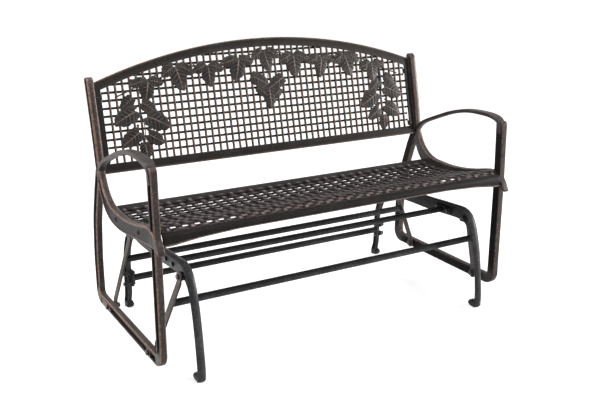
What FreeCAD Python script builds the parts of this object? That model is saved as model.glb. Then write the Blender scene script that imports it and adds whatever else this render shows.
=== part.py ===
import FreeCAD, Part
import math
import os

V = FreeCAD.Vector
os.makedirs("parts", exist_ok=True)

# Frame: +X right as seen from the front, the front faces -Y, +Z up, origin on the floor in the middle
# Outlines are drawn with Y = 0 near the middle of the seat and then moved to the middle of the whole depth

# Side frames of the seat
seat_half = 625.0
frame_thick = 22.0
rim = 5.0
channel_depth = 3.0
loop_width = 34.0
arm_thick = 13.0
arm_rear_width = 22.0
arm_front_width = 32.0
frame_inner = seat_half - frame_thick
foot_front = -303.0
foot_rear = 321.0
depth_shift = -(foot_front + foot_rear) / 2

# General clearances
seat_gap = 0.3
run_clear = 0.06
bolt_clear = 0.3
open_pivot_clear = 1.4
thin_gap = 0.3

# Pivots of the swing links
upper_z = 296.0
upper_front_y = -205.0
upper_rear_y = 207.0
lower_z = 68.0
lower_front_y = -172.0
lower_rear_y = 186.0
pin_d = 10.0
head_af = 15.0
head_h = 6.0
nut_af = 15.0
nut_h = 7.0
collar_d = 24.0
collar_t = 2.0
bolt_sides = 6
open_sides = 8
fine_sides = 12

# Links and their cross bars
link_thick = 6.0
link_width = 25.0
eye_d = 32.0
cross_bar_z = 214.0
cross_bar_h = 20.0
cross_bar_d = 12.0
boss_t = 3.0

# Base frames and stretchers
base_half = 528.0
flange_width = 26.0
flange_thick = 7.0
web_thick = 10.0
front_stretcher_h = 17.0
rear_stretcher_h = 20.0
stretcher_d = 14.0
front_stretcher_y = -99.0
front_stretcher_z = 303.0
rear_stretcher_y = 287.0
rear_stretcher_z = 108.0
plate_t = 6.0
plate_len_front = 78.0
plate_len_rear = 58.0
plate_w = 20.0
bolt_pitch_front = 50.0
bolt_pitch_rear = 36.0
bolt_d = 8.0
bolt_af = 13.0
bolt_head_h = 5.0
cap_nut_h = 7.0
nut_thread = 5.0
flange_in = base_half - flange_width
web_out = base_half - (flange_width - web_thick) / 2
web_in = web_out - web_thick

# Back panel in its own plane, leaning back along the posts
panel_foot = (198.0, 504.0)
panel_lean = math.radians(13.57)
panel_half = frame_inner - seat_gap
panel_side_h = 281.0
panel_peak_h = 388.0
panel_thick = 7.0
border = 30.0
side_border = 21.0
arch_border = 29.0
columns = 49
cell_bar = 7.5
row_pitch = 24.2
row_bar_d = 4.0
leaf_t = 5.0
stem_w = 7.0
mid_twig_h = 200.0
side_twig_x = 462.0
side_twig_h = 80.0

# Seat panel
seat_thick = 5.0
slot_len = 72.0
slot_w = 30.0
slot_columns = 12
seat_border_x = 22.0
end_flange_t = 5.0
lip_low = 404.0
screw_d = 6.0
screw_head_d = 12.0
seat_screws_yz = ((55.0, 403.0), (-137.0, 421.0))
back_screw_h = (42.0, 236.0)


def line(a, b, x):
    return Part.makeLine(V(x, a[0], a[1]), V(x, b[0], b[1]))


def bends(points, limit=2.0):
    # round arcs through each three neighbours, or a straight run where the three lie in line
    edges = []
    for i in range(0, len(points) - 1, 2):
        a = points[i]
        m = points[min(i + 1, len(points) - 1)]
        b = points[min(i + 2, len(points) - 1)]
        size = math.hypot(b[0] - a[0], b[1] - a[1])
        sag = abs((b[0] - a[0]) * (m[1] - a[1]) - (b[1] - a[1]) * (m[0] - a[0])) / size
        if sag > limit:
            edges.append(Part.Arc(V(0, a[0], a[1]), V(0, m[0], m[1]), V(0, b[0], b[1])).toShape())
        else:
            edges.append(line(a, b, 0))
    return edges


def face_of(edges):
    wire = Part.Wire(Part.__sortEdges__(edges))
    return Part.Face(wire)


def sweep_x(face, x0, x1):
    # the face is drawn at x = 0 and moved to x0
    body = face.extrude(V(x1 - x0, 0, 0))
    body.translate(V(x0, 0, 0))
    return body


def offset_points(points, distances):
    # points moved to the left of the direction of travel by the distances
    moved = []
    count = len(points)
    for i in range(count):
        a = points[max(0, i - 1)]
        b = points[min(count - 1, i + 1)]
        dy = b[0] - a[0]
        dz = b[1] - a[1]
        size = math.hypot(dy, dz)
        moved.append((points[i][0] - dz / size * distances[i], points[i][1] + dy / size * distances[i]))
    return moved


def ribbon(points, widths):
    # flat band along a smooth centre line, one width per point
    left = offset_points(points, [w / 2 for w in widths])
    right = offset_points(points, [-w / 2 for w in widths])
    ends = [line(left[-1], right[-1], 0), line(right[0], left[0], 0)]
    return face_of(bends(left) + bends(right) + ends)


def band_between(first, second, limit=2.0):
    # flat area between two smooth curves that run the same way
    ends = [line(first[-1], second[-1], 0), line(second[0], first[0], 0)]
    return face_of(bends(first, limit) + bends(second, limit) + ends)


def road(points, radii, width):
    # band of constant width along straight runs joined by round bends
    sides = []
    for side in (1, -1):
        half = side * width / 2
        edges = []
        last = None
        for i in range(len(points)):
            if i == 0 or i == len(points) - 1:
                j = 0 if i == 0 else i - 1
                dy = points[j + 1][0] - points[j][0]
                dz = points[j + 1][1] - points[j][1]
                size = math.hypot(dy, dz)
                spot = (points[i][0] - dz / size * half, points[i][1] + dy / size * half)
                if last is not None:
                    edges.append(line(last, spot, 0))
                last = spot
                continue
            ay = points[i][0] - points[i - 1][0]
            az = points[i][1] - points[i - 1][1]
            by = points[i + 1][0] - points[i][0]
            bz = points[i + 1][1] - points[i][1]
            sa = math.hypot(ay, az)
            sb = math.hypot(by, bz)
            ua = (ay / sa, az / sa)
            ub = (by / sb, bz / sb)
            cross = ua[0] * ub[1] - ua[1] * ub[0]
            dot = ua[0] * ub[0] + ua[1] * ub[1]
            turn = math.atan2(abs(cross), dot)
            way = 1 if cross > 0 else -1
            cut = radii[i - 1] * math.tan(turn / 2)
            start = (points[i][0] - ua[0] * cut, points[i][1] - ua[1] * cut)
            centre = (start[0] - ua[1] * radii[i - 1] * way, start[1] + ua[0] * radii[i - 1] * way)
            size = radii[i - 1] - half * way
            n0 = (ua[1] * way, -ua[0] * way)
            n2 = (ub[1] * way, -ub[0] * way)
            mid = (n0[0] + n2[0], n0[1] + n2[1])
            ms = math.hypot(mid[0], mid[1])
            p0 = (centre[0] + n0[0] * size, centre[1] + n0[1] * size)
            p1 = (centre[0] + mid[0] / ms * size, centre[1] + mid[1] / ms * size)
            p2 = (centre[0] + n2[0] * size, centre[1] + n2[1] * size)
            edges.append(line(last, p0, 0))
            edges.append(Part.Arc(V(0, p0[0], p0[1]), V(0, p1[0], p1[1]), V(0, p2[0], p2[1])).toShape())
            last = p2
        sides.append(edges)
    firsts = [s[0].Vertexes[0].Point for s in sides]
    lasts = [s[-1].Vertexes[-1].Point for s in sides]
    caps = [Part.makeLine(firsts[0], firsts[1]), Part.makeLine(lasts[0], lasts[1])]
    return face_of(sides[0] + sides[1] + caps)


def disc_x(y, z, d, x0, x1):
    return Part.makeCylinder(d / 2, x1 - x0, V(x0, y, z), V(1, 0, 0))


def prism_x(y, z, r, x0, x1, sides):
    # r reaches the corners
    corners = []
    for i in range(sides + 1):
        a = 2 * math.pi * i / sides
        corners.append(V(x0, y + r * math.cos(a), z + r * math.sin(a)))
    return Part.Face(Part.makePolygon(corners)).extrude(V(x1 - x0, 0, 0))


def hex_x(y, z, across, x0, x1):
    return prism_x(y, z, across / math.sqrt(3), x0, x1, 6)


def bore_x(y, z, d, x0, x1, sides):
    # many-sided hole whose flats stay clear of a round of diameter d
    return prism_x(y, z, d / 2 / math.cos(math.pi / sides), x0, x1, sides)


def box(x0, x1, y0, y1, z0, z1):
    return Part.makeBox(x1 - x0, y1 - y0, z1 - z0, V(x0, y0, z0))


def mirrored(shape):
    return shape.mirror(V(0, 0, 0), V(1, 0, 0))


def save(shape, node):
    placed = shape.copy()
    placed.translate(V(0, depth_shift, 0))
    placed.exportStep("parts/" + node + ".step")


# Post that sweeps into the wide seat rail and ends in a drooping tip
rail_front = [(246, 781), (228, 707), (210, 632), (196, 560), (184, 512), (165, 475), (138, 449), (102, 432),
              (52, 426), (0, 425), (-72, 431), (-140, 444), (-196, 457), (-228, 458), (-256, 446), (-275, 425),
              (-287, 401)]
rail_rear = [(277, 781), (259, 707), (241, 634), (226, 560), (215, 513), (202, 478), (180, 436), (150, 405),
             (107, 386), (57, 379), (0, 380), (-65, 388), (-130, 396), (-187, 405), (-232, 409), (-262, 406),
             (-285, 397)]
rail_solid = sweep_x(band_between(rail_front, rail_rear), frame_inner, seat_half)
# The post is hollowed down to where it widens into the smooth plate of the rail
groove_count = 7
groove_front = offset_points(rail_front[:groove_count], [rim] * groove_count)
groove_rear = offset_points(rail_rear[:groove_count], [-rim] * groove_count)
groove_front[0] = (groove_front[0][0], groove_front[0][1] - rim)
groove_rear[0] = (groove_rear[0][0], groove_rear[0][1] - rim)
groove = sweep_x(band_between(groove_front, groove_rear), seat_half - channel_depth, seat_half + 1)
cap = prism_x(261.5, 779, 15.5, frame_inner, seat_half, fine_sides)

# Upright, runner and rear leg in one loop with round lower corners
loop_path = [(-239, 628), (-248, 430), (-254, lower_z), (284, lower_z), (285, 210), (268, 342), (232, 450), (207, 512)]
loop_radii = [600, 30, 28, 400, 300, 300]
loop_solid = sweep_x(road(loop_path, loop_radii, loop_width), frame_inner, seat_half)
loop_groove = sweep_x(road(loop_path, loop_radii, loop_width - 2 * rim), seat_half - channel_depth, seat_half + 1)

# Arm: a flat band that widens towards its front corner
arm_path = [(203, 494), (190, 528), (162, 552), (120, 572), (66, 594), (10, 615), (-36, 628), (-90, 638),
            (-150, 641), (-205, 638), (-232, 626), (-241, 604), (-243, 585)]
arm_band = sweep_x(ribbon(arm_path, [arm_thick] * len(arm_path)), frame_inner - 20, seat_half + 20)
mid_x = seat_half - frame_thick / 2
rw = arm_rear_width / 2
fw = arm_front_width / 2
plan = [V(mid_x - rw, 230, 480), V(mid_x - rw, 60, 480), V(mid_x - fw, -215, 480), V(mid_x - fw + 4, -250, 480),
        V(mid_x + fw - 4, -250, 480), V(mid_x + fw, -215, 480), V(mid_x + rw, 60, 480), V(mid_x + rw, 230, 480),
        V(mid_x - rw, 230, 480)]
arm_plan = Part.Face(Part.makePolygon(plan)).extrude(V(0, 0, 200))
arm_solid = arm_band.common(arm_plan)

side = rail_solid.fuse([loop_solid, arm_solid, cap])
grooves = loop_groove.cut(sweep_x(band_between(rail_front, rail_rear), seat_half - 10, seat_half + 5))
grooves = grooves.cut(arm_solid)
side = side.cut([groove, grooves])

# Bosses in the runner carry the lower pivots
for pivot_y in (lower_front_y, lower_rear_y):
    side = side.fuse(prism_x(pivot_y, lower_z, loop_width / 2 - rim + 1, seat_half - channel_depth - 1, seat_half,
                             open_sides))
    side = side.fuse(prism_x(pivot_y, lower_z, collar_d / 2, frame_inner - collar_t, frame_inner + 1, open_sides))
for pivot_y in (lower_front_y, lower_rear_y):
    side = side.cut(bore_x(pivot_y, lower_z, pin_d + 2 * run_clear, frame_inner - 5, seat_half + 5, open_sides))
for spot in seat_screws_yz:
    side = side.cut(bore_x(spot[0], spot[1], screw_d + 2 * bolt_clear, frame_inner - 5, seat_half + 5, bolt_sides))
    side = side.cut(bore_x(spot[0], spot[1], screw_head_d + 2 * bolt_clear, seat_half - channel_depth, seat_half + 5,
                           open_sides))


def panel_point(h, out):
    # place on the leaning panel: h up along it, out towards the sitter
    y = panel_foot[0] + h * math.sin(panel_lean) - out * math.cos(panel_lean)
    z = panel_foot[1] + h * math.cos(panel_lean) + out * math.sin(panel_lean)
    return (y, z)


for h in back_screw_h:
    spot = panel_point(h, 0)
    side = side.cut(bore_x(spot[0], spot[1], screw_d + 2 * bolt_clear, frame_inner - 5, seat_half + 5, bolt_sides))
side = side.removeSplitter()
save(side, "right_side_frame")
save(mirrored(side), "left_side_frame")


# Back panel, drawn flat in X and H and then leaned back into place
def lean(shape):
    # from X, depth, H at the origin to the place behind the sitter
    moved = shape.copy()
    moved.rotate(V(0, 0, 0), V(1, 0, 0), -math.degrees(panel_lean))
    moved.translate(V(0, panel_foot[0], panel_foot[1]))
    return moved


rise = panel_peak_h - panel_side_h
arch_r = (panel_half ** 2 + rise ** 2) / (2 * rise)
arch_centre = panel_peak_h - arch_r
inner_r = arch_r - arch_border
inner_half = panel_half - side_border
front_y = -panel_thick / 2
back_y = panel_thick / 2


def arch_height(x, radius):
    return arch_centre + math.sqrt(radius ** 2 - x ** 2)


p_left = V(-panel_half, front_y, panel_side_h)
p_top = V(0, front_y, panel_peak_h)
p_right = V(panel_half, front_y, panel_side_h)
arch = Part.Arc(p_left, p_top, p_right).toShape()
low_right = V(panel_half, front_y, 0)
low_left = V(-panel_half, front_y, 0)
outline = Part.Wire([arch, Part.makeLine(p_right, low_right), Part.makeLine(low_right, low_left),
                     Part.makeLine(low_left, p_left)])
panel = Part.Face(outline).extrude(V(0, panel_thick, 0))
pitch = 2 * inner_half / columns
gaps = []
for i in range(columns):
    x0 = -inner_half + i * pitch + (cell_bar / 2 if i else 0)
    x1 = -inner_half + (i + 1) * pitch - (cell_bar / 2 if i < columns - 1 else 0)
    h0 = arch_height(x0, inner_r)
    h1 = arch_height(x1, inner_r)
    corners = [V(x0, -20, border), V(x1, -20, border), V(x1, -20, h1), V(x0, -20, h0), V(x0, -20, border)]
    gaps.append(Part.Face(Part.makePolygon(corners)).extrude(V(0, 40, 0)))
panel = panel.cut(Part.makeCompound(gaps))

# Lugs at the ends of the panel take the screws
lug_len = 24.0
for sign in (-1, 1):
    for h in back_screw_h:
        hole = bore_x(0, h, screw_d + 2 * bolt_clear, panel_half - lug_len + 2, panel_half + 1, bolt_sides)
        lug = box(panel_half - lug_len, panel_half, front_y, back_y + 5, h - 9, h + 9)
        if sign < 0:
            hole = mirrored(hole)
            lug = mirrored(lug)
        panel = panel.fuse(lug).cut(hole)
panel = panel.removeSplitter()
save(lean(panel), "back_panel")

# Level bars of the lattice lie behind the upright bars
rows = []
row = 1
while border + row * row_pitch + cell_bar < panel_peak_h - arch_border - 4:
    h = border + row * row_pitch
    over = 8.0
    reach = inner_half + over
    room = inner_r ** 2 - (h - arch_centre) ** 2
    if math.sqrt(room) + over < reach:
        reach = math.sqrt(room) + over
    reach = min(reach, panel_half - lug_len - seat_gap)
    rows.append(box(-reach, reach, back_y, back_y + row_bar_d, h - cell_bar / 2, h + cell_bar / 2))
    row += 1
save(lean(Part.makeCompound(rows)), "back_lattice_rows")


# Leaf garland: broad heart-shaped leaves on a winding stem, with a spray down each side and one in the middle
def leaf(x, h, size, turn):
    shape = [(0.0, -0.4), (0.34, -0.54), (0.5, -0.16), (0.0, 0.72), (-0.5, -0.16), (-0.34, -0.54)]
    a = math.radians(turn)
    corners = []
    for u, v in shape:
        corners.append(V(x + size * (u * math.cos(a) - v * math.sin(a)), front_y - leaf_t,
                         h + size * (u * math.sin(a) + v * math.cos(a))))
    corners.append(corners[0])
    return Part.Face(Part.makePolygon(corners)).extrude(V(0, leaf_t, 0))


def stem_height(x):
    return arch_height(x, inner_r) - 30 + 11 * math.cos(x / 56.0)


def strip(points, width):
    top = [V(p[0] + p[2] * width / 2, front_y - leaf_t, p[1] + p[3] * width / 2) for p in points]
    low = [V(p[0] - p[2] * width / 2, front_y - leaf_t, p[1] - p[3] * width / 2) for p in points]
    return Part.Face(Part.makePolygon(top + low[::-1] + [top[0]])).extrude(V(0, leaf_t, 0))


stem_points = []
for i in range(-10, 11):
    x = i * 54.0
    stem_points.append((x, stem_height(x), 0, 1))
stem = strip(stem_points, stem_w)
garland = []
for i in range(-4, 5):
    x = i * 108.0
    garland.append(leaf(x, stem_height(x) - 22, 62 if i % 2 else 54, 180 + 14 * (i % 3 - 1)))
for side in (-1, 1):
    for x, h, size, turn in ((504, 172, 62, 116), (418, 150, 64, 240), (496, 104, 56, 122)):
        garland.append(leaf(side * x, h, size, side * turn))
for x, h, size, turn in ((-38, 250, 50, 120), (38, 238, 50, 240), (0, 196, 54, 180)):
    garland.append(leaf(x, h, size, turn))
twigs = [strip([(0, stem_height(0), 1, 0), (0, mid_twig_h, 1, 0)], stem_w)]
for side in (-1, 1):
    twigs.append(strip([(side * side_twig_x, stem_height(side_twig_x), 1, 0), (side * side_twig_x, side_twig_h, 1, 0)],
                       stem_w))
garland_solid = stem.fuse(garland + twigs).removeSplitter()
save(lean(garland_solid), "leaf_garland")

# Seat panel: dished plate of flat bands with a rolled front and rows of slots
top_line = [(133, 417), (110, 411), (46, 406), (-18, 409), (-82, 419.5), (-146, 436), (-208, 453.5), (-236, 458)]
low_line = [(p[0], p[1] - seat_thick) for p in top_line]
front_x = panel_half
apron_end = 414.0
apron_mid = 431.0
nose_top = Part.Arc(V(0, -236, 458), V(0, -259, 448), V(0, -267, 424)).toShape()
nose_low = Part.Arc(V(0, -262, 424), V(0, -255.5, 444.5), V(0, -236, 453)).toShape()
skin = [line(top_line[i], top_line[i + 1], 0) for i in range(len(top_line) - 1)]
under = [line(low_line[i], low_line[i + 1], 0) for i in range(len(low_line) - 1)]
apron = [line((-267, 424), (-267, apron_end), 0), line((-267, apron_end), (-262, apron_end), 0),
         line((-262, apron_end), (-262, 424), 0)]
rear_cap = [line(top_line[0], low_line[0], 0)]
seat = sweep_x(face_of(skin + under + apron + rear_cap + [nose_top, nose_low]), -front_x, front_x)
scallop_points = [V(-front_x + 30, -300, apron_end - 6), V(-front_x + 110, -300, apron_mid - 6),
                  V(-front_x + 230, -300, apron_mid), V(front_x - 230, -300, apron_mid),
                  V(front_x - 110, -300, apron_mid - 6), V(front_x - 30, -300, apron_end - 6),
                  V(-front_x + 30, -300, apron_end - 6)]
scallop = Part.Face(Part.makePolygon(scallop_points)).extrude(V(0, 60, 0))
seat = seat.cut(scallop)
slot_pitch = 2 * (front_x - seat_border_x) / slot_columns
slots = []
for i in range(1, len(top_line) - 2):
    a = top_line[i]
    b = top_line[i + 1]
    mid = ((a[0] + b[0]) / 2, (a[1] + b[1]) / 2)
    tilt = math.degrees(math.atan2(a[1] - b[1], a[0] - b[0]))
    for k in range(slot_columns):
        x = -front_x + seat_border_x + slot_pitch * (k + 0.5)
        cutter = box(x - slot_len / 2, x + slot_len / 2, -slot_w / 2, slot_w / 2, -12, 12)
        cutter.rotate(V(0, 0, 0), V(1, 0, 0), tilt)
        cutter.translate(V(0, mid[0], mid[1]))
        slots.append(cutter)
seat = seat.cut(Part.makeCompound(slots))
# end flanges that the side frames are screwed to, and a stiffening lip at the rear
flange_low = [(96, 392), (40, 388), (-60, 395), (-150, 405), (-200, 412), (-240, 420)]
flange_top = [(96, 410), (19, 408), (-75, 418), (-169, 441), (-208, 451), (-236, 455)]
for sign in (-1, 1):
    corner_list = [V(0, p[0], p[1]) for p in flange_low] + [V(0, p[0], p[1]) for p in flange_top[::-1]]
    plate = Part.Face(Part.makePolygon(corner_list + [corner_list[0]])).extrude(V(end_flange_t, 0, 0))
    plate.translate(V(front_x - end_flange_t if sign > 0 else -front_x, 0, 0))
    seat = seat.fuse(plate)
lip = box(-front_x, front_x, top_line[0][0] - seat_thick, top_line[0][0], lip_low, top_line[0][1] - 1)
seat = seat.fuse(lip)
for y, z in seat_screws_yz:
    hole = bore_x(y, z, screw_d + 0.1, front_x - 20, front_x + 5, bolt_sides)
    seat = seat.cut([hole, mirrored(hole)])
seat = seat.removeSplitter()
save(seat, "seat_panel")


# Screws through the side frames into seat and back
def screw(y, z, sign, seat_x, length):
    head = prism_x(y, z, screw_head_d / 2, seat_x, seat_x + 2.5, open_sides)
    shank = prism_x(y, z, screw_d / 2, seat_x - length, seat_x, bolt_sides)
    body = head.fuse(shank)
    return body if sign > 0 else mirrored(body)


seat_screw_list = []
back_screw_list = []
for sign in (-1, 1):
    for y, z in seat_screws_yz:
        seat_screw_list.append(screw(y, z, sign, seat_half - channel_depth, frame_thick - channel_depth + 5))
    for h in back_screw_h:
        y, z = panel_point(h, 0)
        back_screw_list.append(screw(y, z, sign, seat_half - channel_depth, frame_thick - channel_depth + 20))
save(Part.makeCompound(seat_screw_list), "seat_screws")
save(Part.makeCompound(back_screw_list), "back_screws")

# Base side frame: T section with the flange on the outside of the bend
outer_line = [(foot_front, 0), (-302, 50), (-294, 105), (-278, 195), (-252, 280), (-232, 314), (-200, 332),
              (-186, 334), (-165, 333), (0, 322.5), (160, 316), (215, 309), (252, 288), (284, 237), (302, 178),
              (305, 130), (306, 85), (310, 40), (foot_rear, 0)]
count = len(outer_line)
flange_line = offset_points(outer_line, [-flange_thick] * count)
flange_line[0] = (outer_line[0][0] + flange_thick, 0)
flange_line[-1] = (outer_line[-1][0] - flange_thick, 0)
base_flange = sweep_x(band_between(outer_line, flange_line, 3.0), flange_in, base_half)
web_line = [(-283, 0), (-282, 50), (-275, 110), (-258, 195), (-226, 262), (-206, 281), (-178, 287.5), (-165, 288),
            (-150, 287), (-10, 277), (150, 275), (200, 276.5), (234, 264), (264, 216), (283, 164), (286, 130),
            (285, 90), (288, 45), (299, 0)]
web_outer = offset_points(outer_line, [-flange_thick / 2] * count)
web_outer[0] = (outer_line[0][0] + flange_thick / 2, 0)
web_outer[-1] = (outer_line[-1][0] - flange_thick / 2, 0)
base_web = sweep_x(band_between(web_outer, web_line, 3.0), web_in, web_out)
base = base_flange.fuse(base_web)
toe_r = 10.0
front_foot = box(flange_in, base_half, foot_front, -272, 0, 2 * toe_r - 2)
front_toe = prism_x(-272, toe_r, toe_r / math.cos(math.pi / open_sides), flange_in, base_half, open_sides)
rear_foot = box(flange_in, base_half, 294, foot_rear, 0, 2 * toe_r - 2)
rear_toe = prism_x(294, toe_r, toe_r / math.cos(math.pi / open_sides), flange_in, base_half, open_sides)
base = base.fuse([front_foot, front_toe, rear_foot, rear_toe])
for pivot_y in (upper_front_y, upper_rear_y):
    base = base.fuse(prism_x(pivot_y, upper_z, eye_d / 2 - 1, flange_in, base_half + 1, fine_sides))
    base = base.fuse(prism_x(pivot_y, upper_z, collar_d / 2, base_half, base_half + 1 + collar_t, open_sides))
pads = [box(web_in - 3, web_in, front_stretcher_y - plate_len_front / 2, front_stretcher_y + plate_len_front / 2,
            front_stretcher_z - plate_w / 2, front_stretcher_z + plate_w / 2),
        box(web_in - 3, web_in, rear_stretcher_y - plate_w / 2 + 3, rear_stretcher_y + plate_w / 2 - 3,
            rear_stretcher_z - plate_len_rear / 2, rear_stretcher_z + plate_len_rear / 2)]
base = base.fuse(pads)
for way in (-1, 1):
    # the rear leg is solid where its stretcher is bolted on
    base = base.fuse(prism_x(rear_stretcher_y, rear_stretcher_z + way * bolt_pitch_rear / 2, bolt_af / 2 + 3, web_in,
                             base_half + 1, open_sides))
pad_face = web_in - 3
bolt_spots = [(front_stretcher_y - bolt_pitch_front / 2, front_stretcher_z),
              (front_stretcher_y + bolt_pitch_front / 2, front_stretcher_z),
              (rear_stretcher_y, rear_stretcher_z - bolt_pitch_rear / 2),
              (rear_stretcher_y, rear_stretcher_z + bolt_pitch_rear / 2)]
for y, z in bolt_spots:
    base = base.cut(bore_x(y, z, bolt_d + 2 * bolt_clear, web_in - 8, base_half + 9, bolt_sides))
for pivot_y in (upper_front_y, upper_rear_y):
    base = base.cut(bore_x(pivot_y, upper_z, pin_d + 2 * bolt_clear, flange_in - 5, base_half + 9, open_sides))
base = base.removeSplitter()
save(base, "right_base_frame")
save(mirrored(base), "left_base_frame")

# Stretchers between the base frames, each with a bolted plate at both ends
plate_face = pad_face - seat_gap
for node, y, z, half_y, half_z, half_h in (
        ("front_stretcher", front_stretcher_y, front_stretcher_z, plate_len_front / 2, plate_w / 2,
         front_stretcher_h / 2),
        ("rear_stretcher", rear_stretcher_y, rear_stretcher_z, plate_w / 2, plate_len_rear / 2,
         rear_stretcher_h / 2)):
    bar = box(-plate_face, plate_face, y - stretcher_d / 2, y + stretcher_d / 2, z - half_h, z + half_h)
    ends = []
    for sign in (-1, 1):
        x0 = plate_face - plate_t if sign > 0 else -plate_face
        ends.append(box(x0, x0 + plate_t, y - half_y, y + half_y, z - half_z, z + half_z))
    bar = bar.fuse(ends)
    for by, bz in bolt_spots:
        if abs(by - y) < plate_len_front and abs(bz - z) < plate_len_rear:
            hole = bore_x(by, bz, bolt_d + 2 * bolt_clear, plate_face - plate_t - 1, plate_face + 5, bolt_sides)
            bar = bar.cut([hole, mirrored(hole)])
    save(bar.removeSplitter(), node)

bolts = []
nuts = []
for y, z in bolt_spots:
    head_x = plate_face - plate_t
    body = hex_x(y, z, bolt_af, head_x - bolt_head_h, head_x)
    seat_x = web_out if y < 0 else base_half + 1
    body = body.fuse(prism_x(y, z, bolt_d / 2, head_x, seat_x + nut_thread, bolt_sides))
    nut = hex_x(y, z, bolt_af, seat_x, seat_x + cap_nut_h)
    nut = nut.cut(prism_x(y, z, bolt_d / 2, seat_x - 1, seat_x + nut_thread, bolt_sides))
    for sign in (-1, 1):
        bolts.append(body if sign > 0 else mirrored(body))
        nuts.append(nut if sign > 0 else mirrored(nut))
save(Part.makeCompound(bolts), "stretcher_bolts")
save(Part.makeCompound(nuts), "stretcher_nuts")

# Swing links lean outward from the base bosses to the runners of the seat
top_face = base_half + 1 + collar_t + thin_gap
top_x0 = top_face
top_x1 = top_x0 + link_thick
low_x1 = frame_inner - collar_t - thin_gap
low_x0 = low_x1 - link_thick


def link(upper_y, lower_y, lower_clear):
    dy = lower_y - upper_y
    dz = lower_z - upper_z
    size = math.hypot(dy, dz)
    flat = eye_d / 2 + 4
    # profile of the bent bar: x across, s down along the link
    profile = [(top_x0, -eye_d), (top_x1, -eye_d), (top_x1, flat), (low_x1, size - flat), (low_x1, size + eye_d),
               (low_x0, size + eye_d), (low_x0, size - flat), (top_x0, flat)]
    corners = [V(p[0], -eye_d / 2, -p[1]) for p in profile]
    bar = Part.Face(Part.makePolygon(corners + [corners[0]])).extrude(V(0, eye_d, 0))
    waist = link_width / 2
    round_top = prism_x(0, 0, eye_d / 2, top_x0 - 60, top_x0 + 140, fine_sides)
    round_low = prism_x(0, -size, eye_d / 2, top_x0 - 60, top_x0 + 140, fine_sides)
    strip = box(top_x0 - 60, top_x0 + 140, -waist, waist, -size, 0)
    body = bar.common(round_top.fuse([round_low, strip]))
    body = body.fuse(prism_x(0, -size, eye_d / 2 - 4, low_x0 - boss_t, low_x0, open_sides))
    body = body.cut(disc_x(0, 0, pin_d + 2 * run_clear, top_x0 - 20, top_x1 + 20))
    if lower_clear > run_clear:
        body = body.cut(bore_x(0, -size, pin_d + 2 * lower_clear, low_x0 - 20, low_x1 + 20, fine_sides))
    else:
        body = body.cut(disc_x(0, -size, pin_d + 2 * lower_clear, low_x0 - 20, low_x1 + 20))
    body = body.removeSplitter()
    body.rotate(V(0, 0, 0), V(1, 0, 0), math.degrees(math.atan2(dy, -dz)))
    body.translate(V(0, upper_y, upper_z))
    return body


front_link = link(upper_front_y, lower_front_y, open_pivot_clear)
rear_link = link(upper_rear_y, lower_rear_y, run_clear)
save(front_link, "right_front_link")
save(mirrored(front_link), "left_front_link")
save(rear_link, "right_rear_link")
save(mirrored(rear_link), "left_rear_link")

# Cross bars join the left and right link of each pair
for node, upper_y, lower_y, whole in (("front_cross_bar", upper_front_y, lower_front_y, front_link),
                                      ("rear_cross_bar", upper_rear_y, lower_rear_y, rear_link)):
    part_way = (upper_z - cross_bar_z) / (upper_z - lower_z)
    y = upper_y + (lower_y - upper_y) * part_way
    bar = box(-low_x1, low_x1, y - cross_bar_d / 2, y + cross_bar_d / 2, cross_bar_z - cross_bar_h / 2,
              cross_bar_z + cross_bar_h / 2)
    # the bar stops at the inner faces of the two links
    size = math.hypot(lower_y - upper_y, lower_z - upper_z)
    flat = eye_d / 2 + 4
    slope = (low_x0 - top_x0) / (size - 2 * flat)
    lean_cos = (upper_z - lower_z) / size
    zt = cross_bar_z + cross_bar_h / 2
    zb = cross_bar_z - cross_bar_h / 2
    xt = top_x0 + ((upper_z - zt) / lean_cos - flat) * slope
    xb = top_x0 + ((upper_z - zb) / lean_cos - flat) * slope
    corners = [V(-xt, y - 40, zt), V(xt, y - 40, zt), V(xb, y - 40, zb), V(-xb, y - 40, zb), V(-xt, y - 40, zt)]
    keep = Part.Face(Part.makePolygon(corners)).extrude(V(0, 80, 0))
    bar = bar.common(keep)
    bar = bar.cut([whole, mirrored(whole)])
    save(bar, node)

# Pivot bolts and nuts: a round bearing length in the link, a plain shank beyond it
def pivot_bolt(y, z, head_x, way, bearing, length):
    # way is the direction in which the shank runs from its head
    far = head_x + way * length
    near = head_x + way * bearing
    body = hex_x(y, z, head_af, min(head_x - way * head_h, head_x), max(head_x - way * head_h, head_x))
    body = body.fuse(disc_x(y, z, pin_d, min(head_x, near), max(head_x, near)))
    return body.fuse(prism_x(y, z, pin_d / 2, min(near, far), max(near, far), bolt_sides))


def pivot_nut(y, z, x0, x1):
    return hex_x(y, z, nut_af, x0, x1).cut(prism_x(y, z, pin_d / 2, x0 - 1, x1 + 1, bolt_sides))


upper_head = top_x1 + thin_gap
upper_nut_x = flange_in - seat_gap
lower_head = low_x0 - boss_t - thin_gap
bolt_proud = 1.0
upper_bolts = []
upper_nuts = []
lower_bolts = []
lower_nuts = []
for y in (upper_front_y, upper_rear_y):
    bolt = pivot_bolt(y, upper_z, upper_head, -1, link_thick + 2 * thin_gap,
                      upper_head - upper_nut_x + nut_h + bolt_proud)
    nut = pivot_nut(y, upper_z, upper_nut_x - nut_h, upper_nut_x)
    upper_bolts += [bolt, mirrored(bolt)]
    upper_nuts += [nut, mirrored(nut)]
for y in (lower_front_y, lower_rear_y):
    bolt = pivot_bolt(y, lower_z, lower_head, 1, link_thick + boss_t + 2 * thin_gap,
                      seat_half + thin_gap + nut_h + bolt_proud - lower_head)
    nut = pivot_nut(y, lower_z, seat_half + thin_gap, seat_half + thin_gap + nut_h)
    lower_bolts += [bolt, mirrored(bolt)]
    lower_nuts += [nut, mirrored(nut)]
save(Part.makeCompound(upper_bolts), "upper_pivot_bolts")
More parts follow.
